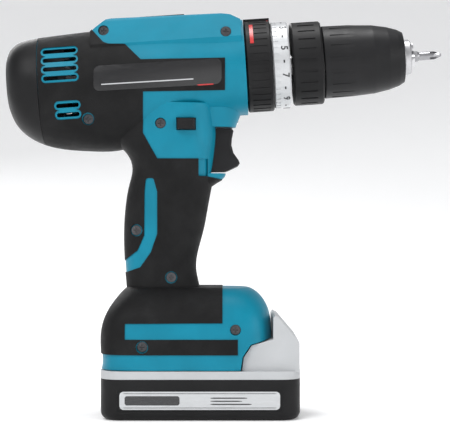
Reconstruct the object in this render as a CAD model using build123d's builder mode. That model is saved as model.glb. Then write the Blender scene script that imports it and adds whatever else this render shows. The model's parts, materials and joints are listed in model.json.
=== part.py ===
"""Cordless hammer driver-drill, standing on its slide-on battery pack.

Row frame, in millimetres: +X towards the bit, +Z up, origin in the middle of the pack's underside.
The tool axis (motor, gearbox, spindle and chuck) leans nose-up by AXIS_TILT. Places on it are given as a
station along the axis and a rise above it.
"""

import math
import os

from build123d import *

os.makedirs("parts", exist_ok=True)

# ---------------------------------------------------------------- driving dimensions
AXIS_TILT = 3.7  # degrees nose-up
AXIS_HEIGHT = 207.5  # height of the tool axis above the origin
WALL = 3.2  # moulded wall of the housing
RUBBER = 1.5  # thickness of the soft grip layer
PROUD = 0.5  # how far the soft grip stands out of the hard housing
FIT = 0.05  # radial clearance of a running fit
GAP = 0.3  # clearance between pieces that only pass each other

# stations along the tool axis
REAR_END = -115.4
REAR_COVER_FRONT = -96.0
HOUSING_FRONT = 26.7
MODE_RING = (27.2, 42.8)
TORQUE_RING = (43.2, 53.2)
CHUCK_RING = (54.8, 73.0)
CHUCK_SLEEVE = (73.4, 122.4)
BIT_TIP = 145.5

FOOT_UNDERSIDE = 29.3
PACK_SPLIT = 24.2  # where the pack's upper case meets its base
PACK_HALF_LENGTH = 58.7
PACK_HALF_WIDTH = 37.5

TILT = math.radians(AXIS_TILT)
FORWARD = Vector(math.cos(TILT), 0, math.sin(TILT))
UPWARD = Vector(-math.sin(TILT), 0, math.cos(TILT))
SIDE = Plane(origin=(0, 0, AXIS_HEIGHT), x_dir=FORWARD, z_dir=(0, -1, 0))
TOOL_AXIS = Axis((0, 0, AXIS_HEIGHT), FORWARD)


# ---------------------------------------------------------------- shared helpers
def at(station, rise=0.0, left=0.0):
    """The point at a station of the tool axis, that far above it and to its left (+Y)."""
    return Vector(0, left, AXIS_HEIGHT) + FORWARD * station + UPWARD * rise


def across(station, rise=0.0, left=0.0):
    """A plane square to the tool axis: local x to the left, local y up, normal forward."""
    return Plane(origin=at(station, rise, left), x_dir=(0, 1, 0), z_dir=FORWARD)


def turn(*outline, mode=Mode.ADD):
    """Spins a closed (station, radius) outline about the tool axis in the active part."""
    with BuildSketch(SIDE) as profile:
        with BuildLine():
            Polyline(*outline, close=True)
        make_face()
    revolve(profile.sketch, axis=TOOL_AXIS, mode=mode)


def ring(start, end, inner, outer, mode=Mode.ADD):
    """A plain ring or disc between two stations."""
    turn((start, inner), (start, outer), (end, outer), (end, inner), mode=mode)


def bar(start, end, radius, rise=0.0, left=0.0, mode=Mode.ADD):
    """A round bar along the tool axis, off its centre."""
    with BuildSketch(across(start, rise, left)) as profile:
        Circle(radius)
    extrude(profile.sketch, amount=end - start, mode=mode)


def side_slab(outline, right, left, plane=Plane.XZ, mode=Mode.ADD):
    """Extrudes a closed side-view outline from Y = -right to Y = left in the active part."""
    with BuildSketch(plane) as profile:
        with BuildLine():
            Polyline(*outline, close=True)
        make_face()
    extrude(profile.sketch, amount=right, mode=mode)
    extrude(profile.sketch, amount=-left, mode=mode)


def block(x, y, z, mode=Mode.ADD):
    """A box between two corners given as (low, high) pairs."""
    with Locations(((x[0] + x[1]) / 2, (y[0] + y[1]) / 2, (z[0] + z[1]) / 2)):
        Box(x[1] - x[0], y[1] - y[0], z[1] - z[0], mode=mode)


def cross_pin(x, z, y_from, y_to, radius, mode=Mode.ADD):
    """A round bar along Y at a side-view place."""
    with BuildSketch(Plane(origin=(x, y_from, z), x_dir=(1, 0, 0), z_dir=(0, 1, 0))) as profile:
        Circle(radius)
    extrude(profile.sketch, amount=y_to - y_from, mode=mode)


def oval(plane, centre, half_x, half_y, power, points=16):
    """A superellipse face: power 2 is an ellipse, and higher powers are boxier."""
    spots = []
    for k in range(points):
        angle = 2 * math.pi * k / points
        c, s = math.cos(angle), math.sin(angle)
        spots.append(
            (
                centre[0] + half_x * math.copysign(abs(c) ** (2 / power), c),
                centre[1] + half_y * math.copysign(abs(s) ** (2 / power), s),
            )
        )
    with BuildSketch(plane) as face:
        with BuildLine():
            Spline(*spots, periodic=True)
        make_face()
    return face.sketch


def save(piece, name):
    """Labels a finished piece and writes it as its own STEP file."""
    piece.part.label = name
    export_step(piece.part, f"parts/{name}.step")


# ---------------------------------------------------------------- housing envelope
# station, top rise, bottom rise, half width, superellipse power
BARREL = [
    (REAR_END, 13.5, -17.5, 17.0, 2.2),
    (-113.6, 18.5, -24.0, 22.5, 2.25),
    (-109.5, 22.0, -30.0, 27.0, 2.3),
    (-101.0, 24.4, -36.5, 30.0, 2.3),
    (-88.0, 25.6, -41.3, 31.4, 2.3),
    (-70.0, 26.7, -44.0, 31.8, 2.3),
    (-50.0, 27.5, -44.3, 31.4, 2.3),
    (-33.0, 28.1, -38.5, 30.6, 2.25),
    (-12.0, 28.5, -31.0, 29.6, 2.1),
    (4.0, 28.8, -29.3, 29.0, 2.0),
    (17.0, 28.8, -28.9, 28.8, 2.0),
    (HOUSING_FRONT, 28.8, -28.8, 28.8, 2.0),
]
# height, back, front, half width, superellipse power
HANDLE = [
    (52.0, -46.0, 2.0, 19.0, 2.6),
    (76.0, -44.3, -1.5, 17.4, 2.5),
    (86.0, -45.2, -3.3, 16.8, 2.4),
    (99.0, -45.9, -2.2, 17.0, 2.4),
    (112.0, -46.0, 1.2, 17.4, 2.4),
    (126.0, -45.0, 3.8, 17.9, 2.4),
    (138.0, -42.9, 6.0, 18.8, 2.5),
    (148.0, -40.9, 7.4, 20.6, 2.7),
    (156.0, -43.5, 8.2, 22.4, 2.9),
    (163.0, -50.5, 8.8, 23.6, 3.0),
    (172.0, -54.0, 9.0, 24.4, 3.0),
    (186.0, -54.0, 9.0, 25.0, 3.0),
]
# height, back, front, half width, superellipse power
FOOT = [
    (FOOT_UNDERSIDE, -58.2, 41.0, 36.6, 6.0),
    (44.0, -58.4, 41.0, 36.8, 6.0),
    (55.0, -57.6, 40.6, 36.2, 5.5),
    (63.0, -54.4, 39.4, 34.0, 5.0),
    (70.0, -49.8, 36.0, 29.5, 4.5),
    (74.5, -46.0, 31.5, 24.5, 4.2),
    (76.6, -43.0, 27.0, 19.5, 4.0),
]
HUMP_SIDE = [(-63.5, 8), (-63.5, 25.5), (-61, 28), (-54.5, 32.8), (-51, 33.2), (14, 31.9), (19.5, 30.9),
             (25.4, 27.4), (25.4, 8)]
HUMP_HALF_TOP = 15.0
HUMP_HALF_BASE = 25.5
HUMP_TOP = 33.9


def envelope(inset):
    """The closed solid of the housing's outside, drawn in by inset on every side."""
    with BuildPart() as body:
        barrel = [
            oval(across(s + (min(inset, 0) if s == REAR_END else 0)), (0, (top + low) / 2),
                 half - inset, (top - low) / 2 - inset, power)
            for s, top, low, half, power in BARREL
            if s >= REAR_END + inset - RUBBER
        ]
        loft(barrel)
        handle = [
            oval(Plane.XY.offset(z), ((back + front) / 2, 0), (front - back) / 2 - inset, half - inset, power)
            for z, back, front, half, power in HANDLE
        ]
        loft(handle)
        foot = [
            oval(Plane.XY.offset(z - (inset if z > 60 else 0)), ((back + front) / 2, 0),
                 (front - back) / 2 - inset, half - inset, power)
            for z, back, front, half, power in FOOT
        ]
        loft(foot)
        add(hump(inset))
        add(chin(inset))
    return body.part


def hump(inset):
    """The raised back along the top of the housing, which carries the speed lever."""
    with BuildPart(mode=Mode.PRIVATE) as raised:
        with BuildSketch(SIDE) as profile:
            with BuildLine():
                Polyline(*HUMP_SIDE, close=True)
            make_face()
            if inset:
                offset(amount=-inset, kind=Kind.INTERSECTION)
        extrude(profile.sketch, amount=40, both=True)
        with BuildSketch(across(-80)) as section:
            with BuildLine():
                Polyline(
                    (-HUMP_HALF_BASE, 0), (-HUMP_HALF_BASE, 17), (-HUMP_HALF_TOP, HUMP_TOP),
                    (HUMP_HALF_TOP, HUMP_TOP), (HUMP_HALF_BASE, 17), (HUMP_HALF_BASE, 0), close=True,
                )
            make_face()
            fillet(section.vertices().group_by(Axis.Y)[-1], 6)
            if inset:
                offset(amount=-inset, kind=Kind.INTERSECTION)
        extrude(section.sketch, amount=130, mode=Mode.INTERSECT)
    return raised.part


def chin(inset):
    """The nose under the barrel that holds the work light, and the guard below the trigger."""
    with BuildPart(mode=Mode.PRIVATE) as nose:
        light = [
            oval(Plane.XY.offset(z), ((back + front) / 2, 0), (front - back) / 2 - inset, half - inset, power)
            for z, back, front, half, power in (
                (172.9 + inset, -20, 20.6, 14.0, 3.0),
                (178.0, -20, 22.6, 15.5, 3.0),
                (183.0, -20, 24.6, 17.0, 2.8),
                (190.0, -20, 26.0, 18.0, 2.6),
            )
        ]
        loft(light)
        if inset > RUBBER:
            return nose.part
        guard = [
            oval(Plane.XY.offset(z), ((back + front) / 2, 0), (front - back) / 2 - inset, half - inset, power)
            for z, back, front, half, power in (
                (135.0 + inset, -20, 4.6, 10.0, 2.4),
                (139.0, -20, 8.6, 11.5, 2.4),
                (142.5, -20, 13.8, 12.0, 2.5),
                (145.2 - inset, -20, 14.8, 12.0, 2.5),
            )
        ]
        loft(guard)
    return nose.part


# ---------------------------------------------------------------- places shared by the housing and its contents
# x, z, and how far out on the right its head sits, for each case screw; the first only reaches the gear case
CASE_SCREWS = [(15.0, 228.6, 21.6), (-57.6, 229.6, 14.5), (-66.0, 176.6, 23.8), (-23.6, 174.4, 20.4),
               (-38.4, 111.0, 11.2), (-17.5, 83.0, 13.4), (20.6, 53.0, 31.5), (-33.9, 42.9, 31.5)]
SCREW_HEAD = 2.9
SCREW_SHANK = 1.45
SCREW_REACH = 8.0  # how far the shanks go past the split, into the left half
BOSS = 4.4
TRIGGER_OPENING = ((-1.2, 32.0), (-8.9, 8.9), (145.2, 172.9))
REVERSE_LEVER = ((-14.0, -3.0), (170.6, 177.4))
SPEED_SLOT = (-36.0, -2.0)
SPEED_TRAVEL = 5.0  # from low gear, at the rear, to high gear
LAMP_HEIGHT = 178.6
GEAR_CASE_RADIUS = 24.4
CAN_RADIUS = 21.5
DOCK_HALF = 24.0
DOCK_NECK = 20.0
DOCK_LIP = 32.4
DOCK_ROOF = 37.0
DOCK_REAR = -50.0
TERMINAL_BLOCK = ((-28.0, -3.0), (-13.0, 13.0), (37.3, 46.0))

SOFT_AREA = [(-98.6, 250), (-64.6, 250), (-64.6, 230.2), (-57.5, 222.4), (-54.5, 221.2), (-44.5, 221),
             (-35, 211.6), (14.5, 212.6), (14.5, 193.8), (-33.6, 192.6), (-34, 168.8), (-25.6, 153.6), (4.2, 153.6),
             (4.2, 143.2), (22, 139.4), (22, 92), (13, 78), (13, 57), (-44, 56.6), (-44, 47.4), (22, 47.4),
             (22, 38.4), (-66, 38.4), (-66, 140), (-92, 140), (-92.6, 150)]
GRIP_WINDOW = [(-32.6, 142), (-28, 142), (-25.8, 134), (-25.8, 109), (-29.6, 98), (-36, 89), (-47, 85),
               (-47, 92), (-37.6, 99), (-33.6, 108), (-33.4, 134)]
VENT_RISES = [14.6, 9.2, 3.8, -1.6, -18.0, -23.4]
VENT_REAR = [-92.5, -92.5, -92.5, -92.5, -86.0, -86.0]
VENT_FRONT = -72.5
VENT_HEIGHT = 2.6


def soft_region():
    """A slab through the whole tool that takes in every place covered by the soft layer."""
    with BuildPart(mode=Mode.PRIVATE) as region:
        side_slab(SOFT_AREA, 50, 50)
        with BuildSketch(Plane.XZ) as window:
            with BuildLine():
                Polyline(*GRIP_WINDOW, close=True)
            make_face()
            fillet(window.vertices(), 1.6)
        extrude(window.sketch, amount=50, both=True, mode=Mode.SUBTRACT)
        add(vents(VENT_HEIGHT + 2.8, 2.2), mode=Mode.SUBTRACT)
    return region.part


def vents(height, longer):
    """The cooling slots on both flanks, as bars right through the tool."""
    with BuildPart(mode=Mode.PRIVATE) as slots:
        with BuildSketch(SIDE) as rows:
            for rise, rear in zip(VENT_RISES, VENT_REAR):
                with Locations(((rear + VENT_FRONT) / 2, rise)):
                    SlotOverall(VENT_FRONT - rear + longer, height)
        extrude(rows.sketch, amount=60, both=True)
    return slots.part


def dock_channel():
    """The T-shaped way that the pack's tongue slides in, open to the front."""
    with BuildPart(mode=Mode.PRIVATE) as channel:
        block((DOCK_REAR, 60), (-DOCK_NECK, DOCK_NECK), (FOOT_UNDERSIDE - 5, DOCK_ROOF))
        block((DOCK_REAR, 60), (-DOCK_HALF, DOCK_HALF), (DOCK_LIP, DOCK_ROOF))
        side_slab(
            [(23.6, FOOT_UNDERSIDE - 5), (23.6, FOOT_UNDERSIDE), (24.8, 37.2), (29.6, 44.4), (40.5, 47.4),
             (70, 47.4), (70, FOOT_UNDERSIDE - 5)], 50, 50)
        block((30, 50), (-7, 7), (44, 52.5))
    return channel.part


def inside_ribs():
    """Cross ribs, motor cradles and the floor over the dock, filling the envelope before its bores are cut."""
    with BuildPart(mode=Mode.PRIVATE) as ribs:
        for station in (-77.0, -60.0, -43.0, -27.0, -12.0, 4.0):
            with BuildSketch(across(station)) as slab:
                Rectangle(90, 90)
            extrude(slab.sketch, amount=2.0)
        block((-60, 45), (-45, 45), (FOOT_UNDERSIDE, DOCK_ROOF + 2.4))
        for height in (72.0, 98.0, 124.0, 141.0):
            block((-60, 20), (-45, 45), (height, height + 2.0))
    return ribs.part


def clear_way():
    """Everything that has to stay open through the ribs: motor, gear case, switch, wires and lever."""
    with BuildPart(mode=Mode.PRIVATE) as way:
        ring(-120, -88, 0, 24.0)
        ring(-88, -82, 0, 23.0)
        ring(-82, -37.5, 0, CAN_RADIUS + FIT)
        ring(-37.5, 60, 0, GEAR_CASE_RADIUS + FIT)
        for side in (-1, 1):
            with BuildSketch(across(-120, -27.5, side * 9)) as trunk:
                Rectangle(10, 18)
            extrude(trunk.sketch, amount=83)
        block((-36, 2.5), (-11.4, 11.4), (143.5, 169.2))
        block((-33, -21.5), (-11, 11), (DOCK_ROOF - 1, 150))
        block((REVERSE_LEVER[0][0] - 4, 14), (-30, 30), (REVERSE_LEVER[1][0] - 1, REVERSE_LEVER[1][1] + 2))
        block(TERMINAL_BLOCK[0], TERMINAL_BLOCK[1], (DOCK_ROOF - 1, 60))
        with BuildSketch(across(SPEED_SLOT[0] - 4)) as top_way:
            with Locations((0, 25)):
                Rectangle(16, 14)
        extrude(top_way.sketch, amount=SPEED_SLOT[1] - SPEED_SLOT[0] + 7)
    return way.part


def screw_bosses():
    """Posts between the two halves at every case screw except the gear case one."""
    with BuildPart(mode=Mode.PRIVATE) as posts:
        for x, z, seat in CASE_SCREWS[1:]:
            cross_pin(x, z, -40, 40, BOSS)
    return posts.part


def left_of_split():
    """A big block over everything at Y > 0."""
    with BuildPart(mode=Mode.PRIVATE) as big:
        block((-200, 200), (0, 200), (-50, 350))
    return big.part


LEFT_SIDE = left_of_split()
OUTSIDE = envelope(0) & LEFT_SIDE
SOFT_BED = envelope(RUBBER - PROUD) & LEFT_SIDE
SOFT_FACE = envelope(-PROUD) & LEFT_SIDE
CAVITY = envelope(WALL) & LEFT_SIDE

with BuildPart() as soft_band:
    add(soft_region() & LEFT_SIDE)
    add(SOFT_BED, mode=Mode.SUBTRACT)
SOFT_BAND = soft_band.part

# ---------------------------------------------------------------- housing halves
with BuildPart() as hollow:
    add(CAVITY)
    with BuildPart(mode=Mode.PRIVATE) as webs:
        add(inside_ribs())
        add(clear_way(), mode=Mode.SUBTRACT)
        add(screw_bosses())
    add(webs.part, mode=Mode.SUBTRACT)

with BuildPart() as half_shell:
    add(OUTSIDE)
    add(SOFT_BAND, mode=Mode.SUBTRACT)
    add(hollow.part, mode=Mode.SUBTRACT)
    with BuildSketch(across(REAR_COVER_FRONT)) as rear_cut:
        Rectangle(120, 120)
    extrude(rear_cut.sketch, amount=-60, mode=Mode.SUBTRACT)
    add(dock_channel(), mode=Mode.SUBTRACT)
    add(vents(VENT_HEIGHT, 0), mode=Mode.SUBTRACT)
    block(*TRIGGER_OPENING, mode=Mode.SUBTRACT)
    block((REVERSE_LEVER[0][0] - GAP, REVERSE_LEVER[0][1] + GAP), (-45, 45),
          (REVERSE_LEVER[1][0] - GAP, REVERSE_LEVER[1][1] + GAP), mode=Mode.SUBTRACT)
    ring(0, HOUSING_FRONT + 5, 0, GEAR_CASE_RADIUS + FIT, mode=Mode.SUBTRACT)
    with BuildSketch(across(SPEED_SLOT[0])) as lever_slot:
        with Locations((0, 34)):
            Rectangle(11.2, 12)
    extrude(lever_slot.sketch, amount=SPEED_SLOT[1] - SPEED_SLOT[0], mode=Mode.SUBTRACT)
    with BuildSketch(Plane(origin=(12, 0, LAMP_HEIGHT), x_dir=(0, 1, 0), z_dir=(1, 0, 0))) as lamp_hole:
        Circle(3.3)
    extrude(lamp_hole.sketch, amount=20, mode=Mode.SUBTRACT)
HALF_SHELL = half_shell.part.solids().sort_by(SortBy.VOLUME)[-1]

with BuildPart() as housing_left:
    add(HALF_SHELL)
    for x, z, seat in CASE_SCREWS[1:]:
        cross_pin(x, z, -1, SCREW_REACH + 1, SCREW_SHANK + FIT, mode=Mode.SUBTRACT)
save(housing_left, "housing_left")

with BuildPart() as housing_right:
    add(HALF_SHELL.mirror(Plane.XZ))
    for x, z, seat in CASE_SCREWS:
        cross_pin(x, z, -50, -seat, SCREW_HEAD + GAP, mode=Mode.SUBTRACT)
        cross_pin(x, z, -50, 1, SCREW_SHANK + FIT, mode=Mode.SUBTRACT)
save(housing_right, "housing_right")

# ---------------------------------------------------------------- soft grip layer
with BuildPart() as half_grip:
    add(SOFT_BAND)
    add(SOFT_FACE, mode=Mode.INTERSECT)
    with BuildSketch(across(REAR_COVER_FRONT)) as grip_cut:
        Rectangle(120, 120)
    extrude(grip_cut.sketch, amount=-60, mode=Mode.SUBTRACT)
    block((TRIGGER_OPENING[0][0], 40), (-45, 45), (143.3, 190), mode=Mode.SUBTRACT)
HALF_GRIP = half_grip.part.solids().sort_by(SortBy.VOLUME)[-1]

with BuildPart() as overmold_left:
    add(HALF_GRIP)
save(overmold_left, "overmold_left")

with BuildPart() as overmold_right:
    add(HALF_GRIP.mirror(Plane.XZ))
    for x, z, seat in CASE_SCREWS:
        cross_pin(x, z, -50, -2, SCREW_HEAD + GAP + 0.4, mode=Mode.SUBTRACT)
save(overmold_right, "overmold_right")

# ---------------------------------------------------------------- rear cover
with BuildPart() as rear_cover:
    with BuildPart(mode=Mode.PRIVATE) as cap:
        add(SOFT_FACE)
        add(CAVITY, mode=Mode.SUBTRACT)
        with BuildSketch(across(REAR_COVER_FRONT - 0.2)) as keep_rear:
            Rectangle(120, 120)
        extrude(keep_rear.sketch, amount=-60, mode=Mode.INTERSECT)
        with BuildSketch(across(-130)) as rear_slots:
            for rise in (8.0, 2.0, -4.0, -10.0):
                with Locations((0, rise)):
                    SlotOverall(24, 2.6)
        extrude(rear_slots.sketch, amount=22, mode=Mode.SUBTRACT)
    add(cap.part)
    mirror(about=Plane.XZ)
save(rear_cover, "rear_cover")

# ---------------------------------------------------------------- gear teeth
MODULE = 0.75
PRESSURE = math.radians(20)
RING_TEETH = 48
BACKLASH = 0.13
RING_OUTER = 21.5


def involute(angle):
    """How far round an involute has moved at that pressure angle."""
    return math.tan(angle) - angle


def teeth_outline(teeth, tip, root, thin):
    """A closed list of points for an external tooth outline; thin narrows each tooth at the pitch circle."""
    pitch = MODULE * teeth / 2
    base = pitch * math.cos(PRESSURE)
    half_pitch = math.pi / (2 * teeth) - thin / (2 * pitch)
    radii = [root, max(root, base) + 0.02, pitch, tip] if base > root else [root, pitch, tip]
    flank = []
    for r in radii:
        reach = max(r, base)
        half = half_pitch + involute(PRESSURE) - involute(math.acos(base / reach))
        flank.append((r, half))
    outline = []
    for k in range(teeth):
        centre = 2 * math.pi * k / teeth
        outline += [(r * math.cos(centre - half), r * math.sin(centre - half)) for r, half in flank]
        outline += [(r * math.cos(centre + half), r * math.sin(centre + half)) for r, half in reversed(flank)]
    return outline


def gear(start, end, teeth, bore, turned=0.0, rise=0.0, left=0.0, tip=None, thin=BACKLASH, mode=Mode.ADD):
    """An external spur gear along the tool axis; turned is its phase in radians."""
    pitch = MODULE * teeth / 2
    with BuildSketch(across(start, rise, left)) as profile:
        with BuildLine(Location((0, 0, 0), (0, 0, math.degrees(turned)))):
            Polyline(*teeth_outline(teeth, tip or pitch + 0.8 * MODULE, pitch - MODULE, thin), close=True)
        make_face()
        if bore:
            Circle(bore, mode=Mode.SUBTRACT)
    extrude(profile.sketch, amount=end - start, mode=mode)


def ring_gear(start, end, outer, mode=Mode.ADD):
    """An internal gear whose spaces follow an external tooth outline, with a tooth on local x."""
    pitch = MODULE * RING_TEETH / 2
    with BuildSketch(across(start)) as profile:
        Circle(outer)
        with BuildLine(Location((0, 0, 0), (0, 0, 180 / RING_TEETH))):
            Polyline(*teeth_outline(RING_TEETH, pitch + MODULE, pitch - 0.6 * MODULE, -BACKLASH), close=True)
        make_face(mode=Mode.SUBTRACT)
    extrude(profile.sketch, amount=end - start, mode=mode)


def planet_place(k, orbit):
    """The rise and left offset of planet k of three."""
    angle = 2 * math.pi * k / 3
    return orbit * math.sin(angle), orbit * math.cos(angle)


def planet_phase(k, teeth):
    """The turn that meshes planet k with the ring's teeth."""
    angle = 2 * math.pi * k / 3
    return angle - (RING_TEETH * angle - math.pi) / teeth


def sun_phase(planet_teeth, teeth):
    """The turn that meshes the sun with planet 0."""
    return planet_teeth * math.pi / teeth


STAGE_1 = {"sun": 12, "planet": 18, "orbit": 11.25}
STAGE_2 = {"sun": 18, "planet": 15, "orbit": 12.375}
STAGE_3 = {"sun": 24, "planet": 12, "orbit": 13.5}
PIN = 1.5
PIN_BORE = 1.58


def carrier_pins(stage, start, end):
    """The three pins that a stage's planets run on."""
    for k in range(3):
        rise, left = planet_place(k, stage["orbit"])
        bar(start, end, PIN, rise, left)


# ---------------------------------------------------------------- gear case and motor
with BuildPart() as gear_case:
    turn((-23.9, 21.65), (-23.9, 24.4), (26.5, 24.4), (26.5, 22.4), (12, 22.4), (12, 15.5), (50, 15.5),
         (50, 13.05), (12.4, 13.05), (12.4, 10.5), (8.5, 10.5), (8.5, 21.65))
    lug_x, lug_z, lug_seat = CASE_SCREWS[0]
    with BuildPart(mode=Mode.PRIVATE) as lug:
        cross_pin(lug_x, lug_z, -17, -11, 3.4)
        ring(10, 30, 0, 23.0, mode=Mode.SUBTRACT)
    add(lug.part)
    cross_pin(lug_x, lug_z, -18, -12, SCREW_SHANK + FIT, mode=Mode.SUBTRACT)
    with BuildSketch(across(8)) as pin_holes:
        with PolarLocations(19.6, 6):
            Circle(1.6)
    extrude(pin_holes.sketch, amount=5, mode=Mode.SUBTRACT)
    with BuildSketch(across(27)) as keyways:
        with PolarLocations(15.5, 3):
            Rectangle(2.4, 3.4)
    extrude(keyways.sketch, amount=20, mode=Mode.SUBTRACT)
    with BuildSketch(across(-13.4)) as fork_way:
        with Locations((0, 23)):
            Rectangle(6.6, 8)
    extrude(fork_way.sketch, amount=9.4, mode=Mode.SUBTRACT)
save(gear_case, "gear_case")

with BuildPart() as motor_bracket:
    turn((-30, 9.55), (-30, 24.4), (-24, 24.4), (-24, 7.5), (-25, 7.5), (-25, 9.55))
    with BuildSketch(across(-31)) as air_ways:
        with PolarLocations(16.5, 6):
            SlotOverall(9, 5, rotation=90)
    extrude(air_ways.sketch, amount=8, mode=Mode.SUBTRACT)
save(motor_bracket, "motor_bracket")

with BuildPart() as motor_bearings:
    ring(-29.8, -25.1, 2.55, 9.5)
    ring(-102.8, -98.1, 2.55, 9.5)
save(motor_bearings, "motor_bearings")

with BuildPart() as ring_gear_1:
    ring_gear(-23.7, -16.2, RING_OUTER)
save(ring_gear_1, "ring_gear_1")

with BuildPart() as motor_can:
    ring(-80, -38, 19.5, CAN_RADIUS)
    with BuildSketch(across(-80.5)) as can_notches:
        with PolarLocations(20.5, 2, start_angle=90):
            Rectangle(6, 10)
    extrude(can_notches.sketch, amount=5, mode=Mode.SUBTRACT)
save(motor_can, "motor_can")

with BuildPart() as magnets:
    ring(-78, -42, 16.2, 19.45)
    with BuildSketch(across(-79)) as poles:
        Rectangle(13, 50)
    extrude(poles.sketch, amount=40, mode=Mode.SUBTRACT)
save(magnets, "magnets")

SLOTS = 12
with BuildPart() as armature_core:
    ring(-74, -46, 2.55, 15.5)
    with BuildSketch(across(-75)) as core_slots:
        with PolarLocations(11.4, SLOTS):
            Rectangle(5.8, 2.8)
        with PolarLocations(14.5, SLOTS):
            Rectangle(3, 1.0)
    extrude(core_slots.sketch, amount=30, mode=Mode.SUBTRACT)
save(armature_core, "armature_core")

with BuildPart() as windings:
    turn((-79.2, 7), (-79.2, 11), (-77.6, 14.2), (-74.1, 14.2), (-74.1, 7))
    turn((-45.9, 7), (-45.9, 14.2), (-43.4, 14.2), (-42, 11), (-42, 7))
    with BuildSketch(across(-74.6)) as bundles:
        with PolarLocations(11.4, SLOTS):
            Rectangle(5.4, 2.4)
    extrude(bundles.sketch, amount=29.2)
save(windings, "windings")

with BuildPart() as commutator:
    ring(-94, -82, 2.55, 8.5)
    with BuildSketch(across(-95)) as segments:
        with PolarLocations(8.5, SLOTS):
            Rectangle(1.4, 0.5)
    extrude(segments.sketch, amount=10, mode=Mode.SUBTRACT)
save(commutator, "commutator")

with BuildPart() as cooling_fan:
    ring(-37, -31, 2.55, 5.5)
    ring(-32.4, -31, 2.55, 18.8)
    with BuildSketch(across(-37)) as blades:
        with PolarLocations(11.4, 11):
            Rectangle(14, 1.2)
    extrude(blades.sketch, amount=5.2)
save(cooling_fan, "cooling_fan")

with BuildPart() as motor_shaft:
    bar(-103.5, -23.2, 2.5)
    gear(-23.2, -16.6, STAGE_1["sun"], 0, sun_phase(STAGE_1["planet"], STAGE_1["sun"]))
save(motor_shaft, "motor_shaft")

BRUSH = ((-91.0, -85.0), 3.0)
with BuildPart() as brush_holder:
    ring(-97, -80.3, 17.6, 20.8)
    ring(-97, -95, 9.8, 20.8)
    turn((-103.4, 2.9), (-103.4, 11.6), (-95, 11.6), (-95, 9.55), (-102.9, 9.55), (-102.9, 2.9))
    for side in (-1, 1):
        with BuildSketch(across(-92.2, 0, side * 13.9)) as box:
            Rectangle(8.2, 8.6)
        extrude(box.sketch, amount=8.4)
        with BuildSketch(across(BRUSH[0][0] - 0.15, 0, side * 20)) as brush_way:
            Rectangle(24, 2 * BRUSH[1] + 0.3)
        extrude(brush_way.sketch, amount=6.3, mode=Mode.SUBTRACT)
        with BuildSketch(across(-88, -22.0, side * 6)) as tab:
            Rectangle(3, 6)
        extrude(tab.sketch, amount=3)
save(brush_holder, "brush_holder")

with BuildPart() as carbon_brushes:
    for side in (-1, 1):
        with BuildSketch(across(BRUSH[0][0], 0, side * 13.6)) as brush:
            Rectangle(9.9, 2 * BRUSH[1])
        extrude(brush.sketch, amount=6)
save(carbon_brushes, "carbon_brushes")

# ---------------------------------------------------------------- gear train
for k, letter in enumerate("abc"):
    rise, left = planet_place(k, STAGE_1["orbit"])
    with BuildPart() as planet:
        gear(-22.2, -16.8, STAGE_1["planet"], PIN_BORE, planet_phase(k, STAGE_1["planet"]), rise, left)
    save(planet, f"planet_1{letter}")

with BuildPart() as carrier_1:
    gear(-15.6, -13.4, RING_TEETH, 0, math.pi / RING_TEETH, tip=18.4, thin=0.35)
    gear(-13.4, -6.9, STAGE_2["sun"], 0, sun_phase(STAGE_2["planet"], STAGE_2["sun"]))
    carrier_pins(STAGE_1, -22.6, -15.6)
save(carrier_1, "carrier_1")

with BuildPart() as planets_2:
    for k in range(3):
        rise, left = planet_place(k, STAGE_2["orbit"])
        gear(-12.4, -6.8, STAGE_2["planet"], PIN_BORE, planet_phase(k, STAGE_2["planet"]), rise, left)
save(planets_2, "planets_2")

with BuildPart() as carrier_2:
    ring(-6.5, -4.2, 0, 15.8)
    gear(-4.2, 4.6, STAGE_3["sun"], 0, sun_phase(STAGE_3["planet"], STAGE_3["sun"]))
    carrier_pins(STAGE_2, -12.8, -6.5)
save(carrier_2, "carrier_2")

with BuildPart() as speed_ring_gear:
    ring_gear(-15.4, -7.4, 21.3)
    ring(-12.5, -10.3, 20.1, 22, mode=Mode.SUBTRACT)
save(speed_ring_gear, "speed_ring_gear")

for k, letter in enumerate("abc"):
    rise, left = planet_place(k, STAGE_3["orbit"])
    with BuildPart() as planet:
        gear(-1.8, 4.4, STAGE_3["planet"], PIN_BORE, planet_phase(k, STAGE_3["planet"]), rise, left)
    save(planet, f"planet_3{letter}")

with BuildPart() as clutch_ring_gear:
    ring_gear(-2.0, 5.2, RING_OUTER)
    with BuildSketch(across(5.2)) as ramps:
        with PolarLocations(20.2, 6, start_angle=30):
            Circle(1.2)
    extrude(ramps.sketch, amount=1.0)
save(clutch_ring_gear, "clutch_ring_gear")

with BuildPart() as output_carrier:
    ring(5.0, 8.0, 6.05, 16.4)
    ring(8.0, 12.0, 6.05, 9.0)
    carrier_pins(STAGE_3, -2.2, 5.0)
save(output_carrier, "output_carrier")

# ---------------------------------------------------------------- clutch, bearings and hammer cams
with BuildPart() as clutch_pins:
    with BuildSketch(across(5.5)) as pin_round:
        with PolarLocations(19.6, 6):
            Circle(1.5)
    extrude(pin_round.sketch, amount=7.0)
save(clutch_pins, "clutch_pins")

SPRING_FRONT = 30.3
with BuildPart() as clutch_spring:
    with BuildLine(SIDE) as wire_path:
        coil = Helix(pitch=3.9, height=SPRING_FRONT - 12.7 - 3.0, radius=19.4, center=(13.8, 0, 0),
                     direction=(1, 0, 0))
    with BuildSketch(Plane(origin=coil @ 0, z_dir=coil % 0)):
        Circle(1.0)
    sweep(path=coil, is_frenet=True)
save(clutch_spring, "clutch_spring")

with BuildPart() as clutch_nut:
    ring(30.6, 35.4, 15.65, 21.55)
    with BuildSketch(across(30.6)) as keys:
        with PolarLocations(15.5, 3):
            Rectangle(1.6, 2.8)
    extrude(keys.sketch, amount=4.8)
save(clutch_nut, "clutch_nut")

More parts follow.
